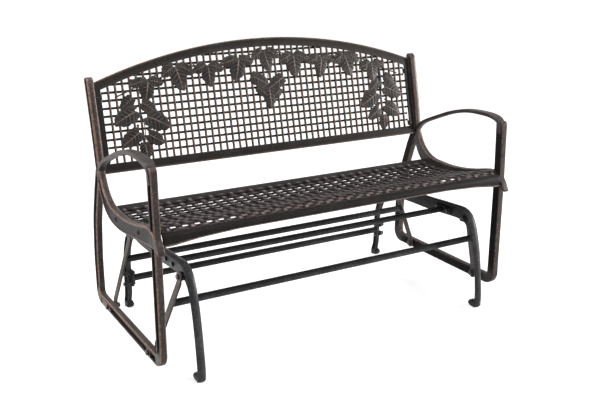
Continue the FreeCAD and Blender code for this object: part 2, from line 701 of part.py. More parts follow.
save(Part.makeCompound(upper_nuts), "upper_pivot_nuts")
save(Part.makeCompound(lower_bolts), "lower_pivot_bolts")
save(Part.makeCompound(lower_nuts), "lower_pivot_nuts")
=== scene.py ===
import bpy
from math import atan2, cos, hypot, pi, radians, sin, sqrt, tan
import numpy as np
from mathutils import Matrix, Vector


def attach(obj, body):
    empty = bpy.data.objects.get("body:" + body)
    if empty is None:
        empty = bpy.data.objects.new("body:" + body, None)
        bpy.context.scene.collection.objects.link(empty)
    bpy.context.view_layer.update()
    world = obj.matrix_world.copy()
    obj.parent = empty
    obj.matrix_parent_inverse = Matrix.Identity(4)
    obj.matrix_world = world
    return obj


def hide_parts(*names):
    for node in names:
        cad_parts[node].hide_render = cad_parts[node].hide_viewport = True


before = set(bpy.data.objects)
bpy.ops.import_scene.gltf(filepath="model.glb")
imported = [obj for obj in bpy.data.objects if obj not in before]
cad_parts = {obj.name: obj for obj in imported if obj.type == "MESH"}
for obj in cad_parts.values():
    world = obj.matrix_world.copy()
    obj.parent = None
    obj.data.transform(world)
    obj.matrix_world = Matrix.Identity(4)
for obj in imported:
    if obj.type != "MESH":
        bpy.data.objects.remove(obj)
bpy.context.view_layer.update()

# Sizes in mm, drawn with Y = 0 near the middle of the seat and moved by depth_shift
depth_shift = -9.0
seat_half, frame_thick, loop_half = 625.0, 22.0, 17.0
frame_inner = seat_half - frame_thick
base_half, flange_w, flange_t, web_t = 528.0, 26.0, 7.0, 10.0
flange_in = base_half - flange_w
flange_mid = (flange_in + base_half) / 2
web_out = base_half - (flange_w - web_t) / 2
web_in = web_out - web_t
seat_screw_spots = ((55.0, 403.0), (-137.0, 421.0))

# Swing links and their pivots
upper_z, lower_z = 296.0, 68.0
upper_ys, lower_ys = (-205.0, 207.0), (-172.0, 186.0)
link_t, link_w, eye_r = 6.0, 25.0, 16.0
link_flat, eye_end = 20.0, 14.0
cross_bar_z = 214.0
top_x0 = base_half + 3.3
top_x1 = top_x0 + link_t
low_x1 = frame_inner - 2.3
low_x0 = low_x1 - link_t
gap = 0.3

# Back panel, leaning back from its foot, with an arch on top
panel_foot, panel_lean = (198.0, 504.0), radians(13.57)
panel_half = frame_inner - gap
panel_face = 3.5
panel_side_h, panel_peak_h = 281.0, 388.0
side_border, low_border, arch_border = 21.0, 30.0, 29.0
columns, cell_bar, row_pitch = 49, 7.5, 24.2
lug_heights, lug_rows = (42.0, 236.0), (1, 2, 8, 9)
rise = panel_peak_h - panel_side_h
arch_r = (panel_half ** 2 + rise ** 2) / (2 * rise)
arch_c = panel_peak_h - arch_r
inner_r = arch_r - arch_border
inner_half = panel_half - side_border


# Curves and grids

def path_run(p):
    """Distance along a polyline at each of its points."""
    return np.concatenate([[0], np.cumsum(np.hypot(*np.diff(p, axis=0).T))])


def spline(points, steps):
    """Natural cubic through the points by chord length, from one linear system of second derivatives."""
    p = np.asarray(points, float)
    n = len(p)
    knots = path_run(p)
    h = np.diff(knots)
    a = np.eye(n)
    rhs = np.zeros((n, p.shape[1]))
    i = np.arange(1, n - 1)
    a[i, i - 1], a[i, i], a[i, i + 1] = h[:-1], 2 * (h[:-1] + h[1:]), h[1:]
    slope = np.diff(p, axis=0) / h[:, None]
    rhs[1:-1] = 6 * np.diff(slope, axis=0)
    m = np.linalg.solve(a, rhs)
    u = np.linspace(0, knots[-1], steps)
    k = np.clip(np.searchsorted(knots, u, side="right") - 1, 0, n - 2)
    d, e, hk = (u - knots[k])[:, None], (knots[k + 1] - u)[:, None], h[k][:, None]
    bend = (m[k] * e ** 3 + m[k + 1] * d ** 3) / (6 * hk)
    return bend + (p[k] / hk - m[k] * hk / 6) * e + (p[k + 1] / hk - m[k + 1] * hk / 6) * d


def normals_2d(p):
    """Left-hand unit normals of a polyline, from central differences."""
    g = np.gradient(p, axis=0)
    g /= np.hypot(*g.T)[:, None]
    return np.stack([-g[:, 1], g[:, 0]], 1)


def unit(v):
    return v / np.linalg.norm(v)


def rounded_path(points, radii):
    """Straight runs joined by arcs tangent to both, with a point about every 7 degrees along an arc. A run is
    split into even steps that are no shorter than the spacing."""
    spacing = 24.0
    p = np.asarray(points, float)
    out = [p[:1]]
    for i, r in enumerate(radii, 1):
        a = unit(p[i] - p[i - 1])
        b = unit(p[i + 1] - p[i])
        turn = atan2(a[0] * b[1] - a[1] * b[0], a @ b)
        way = 1.0 if turn > 0 else -1.0
        start = p[i] - a * r * tan(abs(turn) / 2)
        centre = start + r * way * np.array([-a[1], a[0]])
        ang = np.linspace(0, turn, max(3, int(abs(turn) / radians(7))))[:, None]
        v = start - centre
        out.append(centre + np.cos(ang) * v + np.sin(ang) * np.array([-v[1], v[0]]))
    out.append(p[-1:])
    raw = np.vstack(out)
    parts = []
    for a, b in zip(raw[:-1], raw[1:]):
        n = max(1, int(np.linalg.norm(b - a) / spacing))
        parts.append(a + (b - a) * (np.arange(n) / n)[:, None])
    return np.vstack(parts + [raw[-1:]])


def round_rect(half_a, half_b, r, n=5):
    """Rectangle with quarter-circle corners of n points each."""
    ang = (np.linspace(0, pi / 2, n) + np.arange(4)[:, None] * pi / 2).ravel()
    way_a, way_b = np.repeat([(1, -1, -1, 1), (1, 1, -1, -1)], n, axis=1)
    return np.stack([way_a * (half_a - r) + r * np.cos(ang), way_b * (half_b - r) + r * np.sin(ang)], 1)


def grid_faces(n, m, around=True, along=False):
    """Quads of an n by m grid; the second way may close round, and the first too."""
    i = np.arange(n if along else n - 1)[:, None]
    j = np.arange(m if around else m - 1)[None, :]
    i2, j2 = (i + 1) % n, (j + 1) % m
    return np.stack([i * m + j, i * m + j2, i2 * m + j2, i2 * m + j], -1).reshape(-1, 4)


def grid_of(x, y, z):
    """Grid of points from coordinates that are given along one way or both."""
    return np.stack(np.broadcast_arrays(x, y, z), -1)


def add_object(name, data):
    """New object in the scene."""
    obj = bpy.data.objects.new(name, data)
    bpy.context.collection.objects.link(obj)
    return obj


def volume(points, quads):
    """Sum of the signed tetrahedra from the origin to each quad's two triangles."""
    a, b, c, d = (points[quads[:, k]] for k in range(4))
    return (np.einsum("ij,ij->i", a, np.cross(b, c)) + np.einsum("ij,ij->i", a, np.cross(c, d))).sum()


class Stock:
    """Gathers grids into one mesh: points, quads, end caps and the rub value of each point. Rub runs from -1, a
    hollow or crease painted dark as shade, to 1, the finish rubbed through to copper."""

    def __init__(self):
        self.points, self.quads, self.caps, self.rub, self.count = [], [], [], [], 0

    def sheet(self, grid, rub, quads):
        self.quads.append(quads + self.count)
        self.points.append(grid.reshape(-1, 3))
        self.rub.append(np.broadcast_to(rub, grid.shape[:2]).reshape(-1))
        self.count += len(self.points[-1])

    def tube(self, grid, rub, closed=False):
        """Grid closed round its second way, with flat ends unless it also closes along its first."""
        n, m = grid.shape[:2]
        quads = grid_faces(n, m, True, closed)
        inside_out = volume(grid.reshape(-1, 3) - grid.reshape(-1, 3).mean(0), quads) < 0
        first = np.arange(m) + self.count
        last = first + (n - 1) * m
        self.sheet(grid, rub, quads[:, ::-1] if inside_out else quads)
        if not closed:
            self.caps.append(first if inside_out else first[::-1])
            self.caps.append(last[::-1] if inside_out else last)

    def mirrored(self):
        twin = Stock()
        twin.count = self.count
        twin.points = [p * (-1, 1, 1) for p in self.points]
        twin.quads = [q[:, ::-1] for q in self.quads]
        twin.caps = [c[::-1] for c in self.caps]
        twin.rub = list(self.rub)
        return twin

    def join(self, other):
        self.points += other.points
        self.quads += [q + self.count for q in other.quads]
        self.caps += [c + self.count for c in other.caps]
        self.rub += other.rub
        self.count += other.count
        return self

    def make(self, name, body, slot, finish, nodes, even=True):
        """Writes the mesh in metres, moved to the frame's middle, with rub as a point attribute."""
        pts = (np.vstack(self.points) + (0, depth_shift, 0)) * 0.001
        quads = np.vstack(self.quads)
        sizes = np.array([4] * len(quads) + [len(c) for c in self.caps])
        loops = np.concatenate([quads.ravel(), *self.caps])
        mesh = bpy.data.meshes.new(name)
        mesh.vertices.add(len(pts))
        mesh.vertices.foreach_set("co", pts.ravel())
        mesh.loops.add(len(loops))
        mesh.loops.foreach_set("vertex_index", loops.astype(np.int32))
        mesh.polygons.add(len(sizes))
        mesh.polygons.foreach_set("loop_start", (np.cumsum(sizes) - sizes).astype(np.int32))
        mesh.polygons.foreach_set("use_smooth", np.ones(len(sizes), bool))
        mesh.update(calc_edges=True)
        layer = mesh.attributes.new("rub", "FLOAT", "POINT")
        layer.data.foreach_set("value", np.concatenate(self.rub).astype(np.float32))
        obj = add_object(name, mesh)
        mesh.materials.append(finish)
        if even:
            obj.modifiers.new("even_shading", "WEIGHTED_NORMAL").weight = 60
        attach(obj, body)
        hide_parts(*nodes)
        return obj


def loft(stock, a, b, profile, rub, x_shift=0.0, x_scale=1.0, fade=1.0):
    """Section carried between two curves in the YZ plane. Each section point is (side, inset, x, face): it lies
    inset mm in from curve a (side 0) or b (side 1), or in the middle where the band is too narrow for that.
    fade is the share of the way from face to x that is kept at each station, and of a negative rub (painted
    shade) too."""
    across = b - a
    width = np.hypot(*across.T)[:, None]
    side, inset, x, face = np.array(profile, float).T[:, None, :]
    share = np.minimum(inset / np.maximum(width, 1e-6), 0.5)
    share = np.where(side > 0, 1 - share, share)
    yz = a[:, None] + across[:, None] * share[..., None]
    keep = np.reshape(fade, (-1, 1)) * np.ones_like(width)
    xs = (face + (x - face) * keep) * np.reshape(x_scale, (-1, 1)) + np.reshape(x_shift, (-1, 1))
    values = np.asarray(rub) * np.ones_like(width)
    stock.tube(np.concatenate([xs[..., None], yz], -1), np.where(values < 0, values * keep, values))


def both_sides(half):
    """Closed section from the points (inset, x, face, rub) of one half, and the same again on side 1."""
    pts = [(0,) + p for p in half] + [(1,) + p for p in half[::-1]]
    return [p[:4] for p in pts], [p[4] for p in pts]


def channel_section(x_in, x_out, r_out, rim, depth, worn, inner, crown):
    """Round-edged bar with a hollow in its outer face. Rub peaks halfway round each edge, so only edges wear
    through; the rim's flat is painted paler as a highlight and the hollow's floor darker as shade. inner is its
    value on the inner face, where a value below 0 paints shade. crown widens the corners along x where the
    hollow is full."""
    quarter = np.radians(np.linspace(0, 90, 5))
    lip = 1.3

    def edge(c, low, high):
        return low + (high - low) * sin(2 * c)

    def corner(c, x_face, way, low, high):
        """Point of a quarter circle, pushed along x by the crown."""
        drop = 1 - sin(c)
        plain = x_face + way * r_out * drop
        return r_out * (1 - cos(c)), plain + way * crown * drop, plain, edge(c, low, high)

    half = [(r_out + 1.5, x_in, x_in, inner)]
    half += [corner(c, x_in, 1, 0.1, 0.8) for c in quarter[::-1]]
    half += [corner(c, x_out, -1, 0.15, 0.95) for c in quarter]
    # the flat of the rim is painted paler (0.5): a painted highlight, partly wear
    half.append((rim * 0.6, x_out, x_out, 0.5))
    half += [(rim - lip + lip * sin(c), x_out - lip * (1 - cos(c)), x_out, edge(c, 0.1, worn))
             for c in quarter[:-1]]
    # the floor of the hollow is painted dark (-0.8, -1): painted shade
    half += [(rim + 0.3, x_out - depth + 1.0, x_out, -0.8), (rim + 1.6, x_out - depth, x_out, -1)]
    return both_sides(half)


def bar_x(stock, x0, x1, y, z, half_y, half_z, r, rub_edge, top=None):
    """Round-cornered bar along X, whose section shrinks by 1 mm over the last 1 mm at both ends. Rub is highest
    at its corners; top, where given, is the value of its upper half, and a value below 0 there paints shade on
    it."""
    sec = round_rect(half_y, half_z, r)
    end = np.array([0, 0.3, 1.0])
    xs = np.concatenate([x0 + end, x1 - end[::-1]])
    cut = np.concatenate([end[::-1], end])[:, None]
    grid = grid_of(xs[:, None], y + sec[:, 0] * (1 - cut / half_y), z + sec[:, 1] * (1 - cut / half_z))
    corner = np.minimum(abs(sec[:, 0]) / half_y, abs(sec[:, 1]) / half_z)
    rub = rub_edge * np.clip(corner * 1.6 - 0.8, 0, 1)
    # a negative top paints the upper half darker: painted shade
    if top is not None:
        rub = np.where(sec[:, 1] > 0, top, rub)
    stock.tube(grid, rub)


def turned(stock, y, z, profile, sides=36, hexed=None):
    """Shape turned about X from (x, radius, rub); hexed is the width that six flats cut it to."""
    p = np.array(profile, float)
    ang = np.linspace(0, 2 * pi, sides, endpoint=False)
    r = p[:, 1:2]
    if hexed:
        r = np.minimum(r, hexed / 2 / np.cos((ang + pi / 6) % (pi / 3) - pi / 6))
    stock.tube(grid_of(p[:, 0:1], y + r * np.cos(ang), z + r * np.sin(ang)), p[:, 2:3])


def hex_head(stock, y, z, x0, way, across, height):
    """Six-sided head with a turned chamfer on its free end."""
    profile = [(0, 0.56, 0.3), (0.7, 0.58, 0.6), (0.9, 0.53, 0.9), (1, 0.46, 0.9), (1, 0.1, 0.3)]
    turned(stock, y, z, [(x0 + way * height * up, across * r, rub) for up, r, rub in profile], hexed=across)


def rod(stock, y, z, x0, x1, r):
    """Round shank with a 0.8 mm chamfer at both ends."""
    a, b = sorted((x0, x1))
    turned(stock, y, z, [(a, r - 0.8, 0.4), (a + 0.8, r, 0.5), (b - 0.8, r, 0.5), (b, r - 0.8, 0.4)], 24)


# Finishes

def feed(tree, inputs, values):
    """Gives each input in values its constant, or a link from another node's output."""
    for key, value in values.items():
        if isinstance(value, (int, float, tuple)):
            inputs[key].default_value = value
        elif value is not None:
            tree.links.new(value, inputs[key])


def math_node(tree, op, a, b=None, c=None, clamp=False):
    """Math node on one to three values; MULTIPLY_ADD gives a times b plus c."""
    n = tree.nodes.new("ShaderNodeMath")
    n.operation, n.use_clamp = op, clamp
    feed(tree, n.inputs, {0: a, 1: b, 2: c})
    return n.outputs[0]


def mix_colour(tree, fac, a, b, kind="MIX"):
    """Colour a turned into b by the share fac."""
    n = tree.nodes.new("ShaderNodeMix")
    n.data_type, n.blend_type = "RGBA", kind
    feed(tree, n.inputs, {0: fac, 6: a, 7: b})
    return n.outputs[2]


def noise(tree, place, scale, detail, rough, distortion=0.0):
    """Layered noise between 0 and 1."""
    n = tree.nodes.new("ShaderNodeTexNoise")
    feed(tree, n.inputs, {"Vector": place, "Scale": scale, "Detail": detail, "Roughness": rough,
                          "Distortion": distortion})
    return n.outputs["Fac"]


def patina_and_shade_group():
    """Aged cast metal with painted light. Rub (-1 to 1) comes from the piece: above 0 the dark coat is rubbed
    through to copper where uneven noise lets it and pale bloom is added, wear that also paints a highlight on
    edges; below 0 the colour is painted darker, a painted shade for hollows and creases. Cloudy and patchy
    noise mix the pale bloom into the coat, and fine noise specks it all."""
    g = bpy.data.node_groups.new("aged_casting_and_shade", "ShaderNodeTree")
    amounts = ("Rub Amount", "Bloom Amount", "Gloss Amount", "Grain Scale")
    for way, kind, names in (("INPUT", "Color", ("Coat", "Bloom", "Copper")), ("INPUT", "Float", amounts),
                             ("OUTPUT", "Color", ("Color",)),
                             ("OUTPUT", "Float", ("Roughness", "Gloss", "Height"))):
        for name in names:
            g.interface.new_socket(name, in_out=way, socket_type="NodeSocket" + kind)
    given = g.nodes.new("NodeGroupInput").outputs
    out = g.nodes.new("NodeGroupOutput").inputs
    place = g.nodes.new("ShaderNodeTexCoord").outputs["Object"]
    attribute = g.nodes.new("ShaderNodeAttribute")
    attribute.attribute_name = "rub"
    rub = attribute.outputs["Fac"]
    cloud = noise(g, place, 14.0, 4.0, 0.6, 0.4)
    patch = noise(g, place, 150.0, 3.0, 0.6, 0.2)
    fine = noise(g, place, 420.0, 2.0, 0.55)
    grain = noise(g, place, given["Grain Scale"], 2.0, 0.5)

    def times(a, b, plus=None, clamp=False):
        """a times b, plus a third value where one is given."""
        return math_node(g, "MULTIPLY" if plus is None else "MULTIPLY_ADD", a, b, plus, clamp)

    hollow = times(rub, -1.0, clamp=True)
    up = math_node(g, "MAXIMUM", rub, 0.0)
    worn = math_node(g, "ADD", up, times(times(patch, 1.5, -0.75), 0.75))
    worn = times(worn, 2.4, -1.45, clamp=True)
    worn = times(worn, math_node(g, "GREATER_THAN", up, 0.05))
    worn = times(worn, given["Rub Amount"])

    mottle = times(patch, 3.6, -1.3, clamp=True)
    bloom = times(cloud, 1.6, -0.2, clamp=True)
    bloom = times(bloom, times(mottle, 0.7, 0.42))
    bloom = times(bloom, given["Bloom Amount"], clamp=True)
    # painted shade: bloom is held back where rub is below 0; painted highlight and wear: rubbed edges get extra
    # pale bloom
    bloom = times(bloom, times(hollow, -0.85, 1.0))
    bloom = times(up, 0.45, bloom, clamp=True)

    colour = mix_colour(g, bloom, given["Coat"], given["Bloom"])
    # painted shade: below 0 the colour is pulled towards near black (0.006, 0.005, 0.005), standing in for
    # shade in hollows and creases
    colour = mix_colour(g, times(hollow, 0.8), colour, (0.006, 0.005, 0.005, 1))
    colour = mix_colour(g, worn, colour, given["Copper"])
    speck = times(fine, 0.7, 0.65)
    shade = g.nodes.new("ShaderNodeCombineColor")
    feed(g, shade.inputs, {0: speck, 1: speck, 2: speck})

    rough = times(worn, -0.08, times(patch, 0.25, 0.36))
    gloss = times(times(hollow, -1.4, 0.9, clamp=True), times(patch, 0.8, 0.5, clamp=True))
    feed(g, out, {"Color": mix_colour(g, 1.0, colour, shade.outputs[0], "MULTIPLY"),
                  "Roughness": times(hollow, 0.15, rough, clamp=True),
                  "Gloss": times(gloss, given["Gloss Amount"]),
                  "Height": times(patch, 0.5, times(grain, 0.6))})
    return g


patina_and_shade = patina_and_shade_group()


def casting(name, coat, bloom, copper, rub, pale, metallic=0.1, gloss=0.4, grain=900.0, bump=0.25):
    """Finish from the aged casting group, which also paints shade in hollows and highlights on rubbed edges:
    colours of coat, pale bloom and the metal under it, how much of the last two shows, and the grain as a bump
    0.6 mm deep."""
    m = bpy.data.materials.new(name)
    m.use_nodes = True
    t = m.node_tree
    aged = t.nodes.new("ShaderNodeGroup")
    aged.node_tree = patina_and_shade
    feed(t, aged.inputs, {"Coat": coat + (1,), "Bloom": bloom + (1,), "Copper": copper + (1,),
                          "Rub Amount": rub, "Bloom Amount": pale, "Gloss Amount": gloss, "Grain Scale": grain})
    relief = t.nodes.new("ShaderNodeBump")
    feed(t, relief.inputs, {"Strength": bump, "Distance": 0.0006, "Height": aged.outputs["Height"]})
    feed(t, t.nodes["Principled BSDF"].inputs,
         {"Base Color": aged.outputs["Color"], "Roughness": aged.outputs["Roughness"], "Metallic": metallic,
          "Specular IOR Level": 0.06, "Coat Weight": aged.outputs["Gloss"], "Coat Roughness": 0.28,
          "Normal": relief.outputs["Normal"]})
    return m


bronze = casting("bronze_casting", (0.010, 0.0084, 0.0080), (0.105, 0.085, 0.081),
                 (0.36, 0.188, 0.125), rub=0.8, pale=0.72, gloss=0.26)
panel_paint = casting("bronze_panel", (0.015, 0.0132, 0.0126), (0.070, 0.062, 0.058),
                      (0.28, 0.150, 0.098), rub=0.85, pale=0.7, gloss=0.05)
leaf_paint = casting("leaf_relief", (0.014, 0.0122, 0.0117), (0.090, 0.080, 0.075),
                     (0.30, 0.195, 0.145), rub=0.9, pale=0.8, gloss=0.1)
# The seat's copper is a pale mauve; on the strap tops it is also a painted highlight.
weave_paint = casting("woven_seat", (0.0060, 0.0052, 0.0052), (0.085, 0.069, 0.068),
                      (0.24, 0.180, 0.170), rub=0.9, pale=0.55, gloss=0.1)
charcoal = casting("charcoal_casting", (0.010, 0.0098, 0.0104), (0.095, 0.092, 0.098),
                   (0.17, 0.16, 0.16), rub=0.35, pale=0.8, gloss=0.15, grain=700.0, bump=0.4)
link_metal = casting("link_bronze", (0.022, 0.019, 0.018), (0.115, 0.098, 0.092),
                     (0.20, 0.15, 0.125), rub=0.5, pale=0.8, metallic=0.15, gloss=0.2)
screw_metal = casting("screw_metal", (0.016, 0.015, 0.015), (0.09, 0.082, 0.080),
                      (0.22, 0.20, 0.19), rub=0.8, pale=0.6, metallic=0.3)


def make_pair(stock, piece, body, slot, finish, node):
    """The right-hand piece as drawn, and its mirror image on the left."""
    stock.make("right_" + piece, body, slot, finish, ["right_" + node])
    stock.mirrored().make("left_" + piece, body, slot, finish, ["left_" + node])


def make_set(stock, name, body, node):
    """Small hardware of both sides as one piece."""
    stock.join(stock.mirrored()).make(name, body, "hardware", screw_metal, [node])


def make_fastenings(name, body, spots, way, head_x, head_h, tail, across, r):
    """Bolts and nuts at the spots (y, z, nut_x). The head grows from head_x towards way, and the shank ends
    tail mm into the nut, which grows from nut_x the other way."""
    bolts, nuts = Stock(), Stock()
    for y, z, nut_x in spots:
        hex_head(bolts, y, z, head_x, way, across, head_h)
        rod(bolts, y, z, head_x, nut_x - way * tail, r)
        hex_head(nuts, y, z, nut_x, -way, across, 6.8)
    make_set(bolts, name + "_bolt_set", body, name + "_bolts")
    make_set(nuts, name + "_nut_set", body, name + "_nuts")


# Side frames

rail_front = [(246, 781), (228, 707), (210, 632), (196, 560), (184, 512), (165, 475), (138, 449), (102, 432),
              (52, 426), (0, 425), (-72, 431), (-140, 444), (-196, 457), (-228, 458), (-256, 446), (-275, 425),
              (-287, 401)]
rail_rear = [(277, 781), (259, 707), (241, 634), (226, 560), (215, 513), (202, 478), (180, 436), (150, 405),
             (107, 386), (57, 379), (0, 380), (-65, 388), (-130, 396), (-187, 405), (-232, 409), (-262, 406),
             (-285, 397)]
dome_h, post_up = 14.5, np.array([0.235, 0.972])
loop_front_y, loop_rear_y, loop_end_r = -254.0, 284.0, 12.0
loop_corners = [(-239, 630), (-248, 430), (loop_front_y, lower_z), (loop_rear_y, lower_z), (285, 210),
                (268, 342), (232, 450), (207, 512)]
loop_radii = [600, 30, 28, 400, 300, 300]
arm_points = [(203, 494), (190, 528), (162, 552), (120, 572), (66, 594), (10, 615), (-36, 628), (-90, 638),
              (-150, 641), (-205, 638), (-232, 626), (-241, 604), (-243, 585)]
arm_half_t = 6.5


def add_post_and_rail(side):
    """Band between two lines, with a dome on top. The hollow fades where the band is narrower than 20 mm, is
    shallow along the rail and ends at its tip."""
    front_line, rear_line = spline(rail_front, 150), spline(rail_rear, 150)
    dome = np.radians(np.linspace(86, 8, 9))[:, None]
    mid, half = (front_line[0] + rear_line[0]) / 2, (rear_line[0] - front_line[0]) / 2
    lift = post_up * dome_h * np.sin(dome)
    front_line = np.vstack([mid - half * np.cos(dome) + lift, front_line])
    rear_line = np.vstack([mid + half * np.cos(dome) + lift, rear_line])
    width = np.hypot(*(rear_line - front_line).T)
    run = np.linspace(0, 1, len(width))
    fade = np.clip((width - 11) / 9, 0, 1) * np.interp(run, [0, 0.42, 0.56, 0.9, 1], [1, 1, 0.4, 0.4, 0])
    section = channel_section(frame_inner, seat_half, r_out=3.6, rim=6.5, depth=5.0, worn=1.0, inner=0.04,
                              crown=5.0)
    loft(side, front_line, rear_line, *section, fade=fade)


def add_loop(side):
    """Upright, runner and rear leg as one band of even width, rounded at its first end. The hollow fades out
    there and at the two lower corners."""
    path = rounded_path(loop_corners, loop_radii)
    first = unit(path[1] - path[0])
    path = np.vstack([path[0] + first * np.array([0, 0.5, 1.5, 3, 5, 8, 11.9])[:, None], path[1:]])
    run = path_run(path)
    to_full = loop_end_r - np.clip(run, 0, loop_end_r)
    half_at = loop_half - loop_end_r + np.sqrt(loop_end_r ** 2 - to_full ** 2)
    side_n = normals_2d(path) * half_at[:, None]
    from_bends = np.minimum(*(np.hypot(path[:, 0] - y, path[:, 1] - lower_z)
                              for y in (loop_front_y, loop_rear_y)))
    fade = np.clip((run - 22) / 14, 0, 1) * np.clip((from_bends - 26) / 16, 0, 1)
    # inner=-0.75 paints the inner face dark: painted shade
    section = channel_section(frame_inner + 0.6, seat_half - 0.6, r_out=3.6, rim=7.0, depth=8.5, worn=0.8,
                              inner=-0.75, crown=2.0)
    loft(side, path + side_n, path - side_n, *section, fade=fade)


def add_arm(side):
    """Flat band that gets wider towards its front corner; only its edges are rubbed."""
    line = spline(arm_points, 80)
    side_n = normals_2d(line) * arm_half_t
    half_w = np.interp(-line[:, 0], [-230, -60, 215, 250], [11.0, 11.0, 16.0, 12.0])
    sec = round_rect(1.0, 1.0, 0.35, 6)
    section = [(float(p[1] < 0), (1 - abs(p[1])) * arm_half_t, p[0], p[0]) for p in sec]
    rub = np.clip(abs(sec[:, 0]) * abs(sec[:, 1]) * 1.5 - 0.55, 0, 1) * 1.2 - 0.42
    loft(side, line + side_n, line - side_n, section, x_shift=seat_half - frame_thick / 2, rub=rub,
         x_scale=half_w)


def add_bosses(side):
    """Pads inside the runner's hollow that carry the lower pivots, with a collar on the inner face."""
    collar = [(frame_inner - 2, 11.0, 0.3), (frame_inner - 2, 12, 0.4), (frame_inner + 1, 12, 0)]
    for y, pad_y, pad_half in zip(lower_ys, (-172.0, 203.0), (14.0, 38.0)):
        bar_x(side, frame_inner + 1, seat_half, pad_y, lower_z, pad_half, 10.5, 2.0, 0.9)
        turned(side, y, lower_z, collar)


def add_screw_rings(side):
    """Shallow dips round the seat screws, each with a worn rim and a floor painted near black, a painted shade.
    """
    ring = [(seat_half - 2.5, 7.6, 0), (seat_half - 0.6, 7.2, 0.1), (seat_half - 0.1, 6.6, 0.5),
            (seat_half - 0.5, 6.2, -1), (seat_half - 1.0, 5.9, -1), (seat_half - 1.0, 3.0, -1)]
    for y, z in seat_screw_spots:
        turned(side, y, z, ring, 28)


side_frame = Stock()
add_post_and_rail(side_frame)
add_loop(side_frame)
add_arm(side_frame)
add_bosses(side_frame)
add_screw_rings(side_frame)
make_pair(side_frame, "side_casting", "seat", "bronze_castings", bronze, "side_frame")


# Back panel in its own plane

def leaned(x, out, h):
    """Place on the leaning panel: h up along it, out towards the sitter."""
    c, s = cos(panel_lean), sin(panel_lean)
    return grid_of(x, panel_foot[0] + h * s - out * c, panel_foot[1] + h * c + out * s)


def arch(x, r):
    """Height of the arch of radius r at x."""
    return arch_c + np.sqrt(r ** 2 - x ** 2)


def add_border(panel):
    """Flat frame between an outer and an inner loop with the same stations, as a shallow tray with rims."""
    across = np.linspace(-1, 1, 61)
    down = np.linspace(0, 1, 8)[1:-1]

    def run_round(half, top_r, side_top, foot):
        """Arch, right side, foot and left side."""
        top = np.stack([across * half, arch(across * half, top_r)], 1)
        right = np.stack([0 * down + half, side_top + (foot - side_top) * down], 1)
        low = np.stack([-across * half, 0 * across + foot], 1)
        return np.vstack([top, right, low, right[::-1] * (-1, 1)])

    outer = run_round(panel_half, arch_r, panel_side_h, 0.0)
    inner = run_round(inner_half, inner_r, arch(inner_half, inner_r), low_border)

    # section points are (share of the way across, height out of the panel, rub)
    edge_r, width, tray = 1.6, 26.0, 2.7
    rounding = [(edge_r * (1 - cos(c)) / width, panel_face - edge_r * (1 - sin(c)))
                for c in np.radians(np.linspace(0, 90, 4))]
    sec = [(0.0, -panel_face, 0.3)]
    sec += [(share, out, 0.95) for share, out in rounding]
    # next to the rim the tray is painted darker (-0.4, easing to -0.1): painted shade in the step
    sec += [(5.0 / width, panel_face, 0.1), (7.0 / width, tray, -0.4)]
    sec += [(24.0 / width - 0.1, tray, -0.1), (24.0 / width - 0.02, panel_face, 0.1)]
    sec += [(1 - share, out, 0.5) for share, out in rounding[::-1]]
    sec += [(1.0, -panel_face, 0.3)]
    share, out, rub = np.array(sec).T[:, None, :]
    flat = outer[:, None] + (inner - outer)[:, None] * share[..., None]
    panel.tube(leaned(flat[..., 0], out, flat[..., 1]), rub, closed=True)


def add_upright_bars(panel):
    """Bars with a half-round front, worn along their crests."""
    ang = np.radians(np.linspace(0, 180, 7))
    half = cell_bar / 2
    across = np.concatenate([half * np.cos(ang), [-half * 0.8, half * 0.8]])
    out = np.concatenate([0.4 + 2.6 * np.sin(ang), [-3.3, -3.3]])
    rub = np.array([0.25, 0.5, 0.75, 0.8, 0.75, 0.5, 0.25, 0, 0])
    for x in -inner_half + 2 * inner_half / columns * np.arange(1, columns):
        h = np.array([low_border - 4.0, arch(x, inner_r) + 4.0])
        panel.tube(leaned(x + across, out, h[:, None]), rub)


def add_lugs(panel):
    """Blocks behind both side borders that take the screws through the posts."""
    sec = round_rect(9, 5.5, 2)
    full = np.array([1, 1, 0.85])[:, None]
    for sign in (-1, 1):
        x = sign * np.array([panel_half, panel_half - 23, panel_half - 24.0])
        for h in lug_heights:
            panel.tube(leaned(x[:, None], -4.0 + sec[:, 1] * full, h + sec[:, 0] * full), 0.1)


def level_bars():
    """Bars behind the upright ones. They end behind the border, and those beside a lug stop short of it."""
    bars = Stock()
    ang = np.radians(np.linspace(0, 180, 6))
    across = np.concatenate([cell_bar / 2 * np.cos(ang), [-cell_bar / 2, cell_bar / 2]])
    out = np.concatenate([-5.0 + 1.4 * np.sin(ang), [-7.5, -7.5]])
    rub = np.concatenate([np.sin(ang) * 0.3, [0, 0]])
    row = 1
    while low_border + row * row_pitch + cell_bar < panel_peak_h - arch_border - 4:
        h = low_border + row * row_pitch
        reach = min(inner_half + 8.0, sqrt(inner_r ** 2 - (h - arch_c) ** 2) + 8.0)
        if row in lug_rows:
            reach = min(reach, panel_half - 24.3)
        x = np.linspace(-reach, reach, 50)
        bars.tube(leaned(x[:, None], out, h + across), rub)
        row += 1
    return bars


panel = Stock()
add_border(panel)
add_upright_bars(panel)
add_lugs(panel)
panel.make("back_frame_and_uprights", "seat", "bronze_panels", panel_paint, ["back_panel"])
level_bars().make("back_level_bars", "seat", "bronze_panels", panel_paint, ["back_lattice_rows"])


# Leaf garland

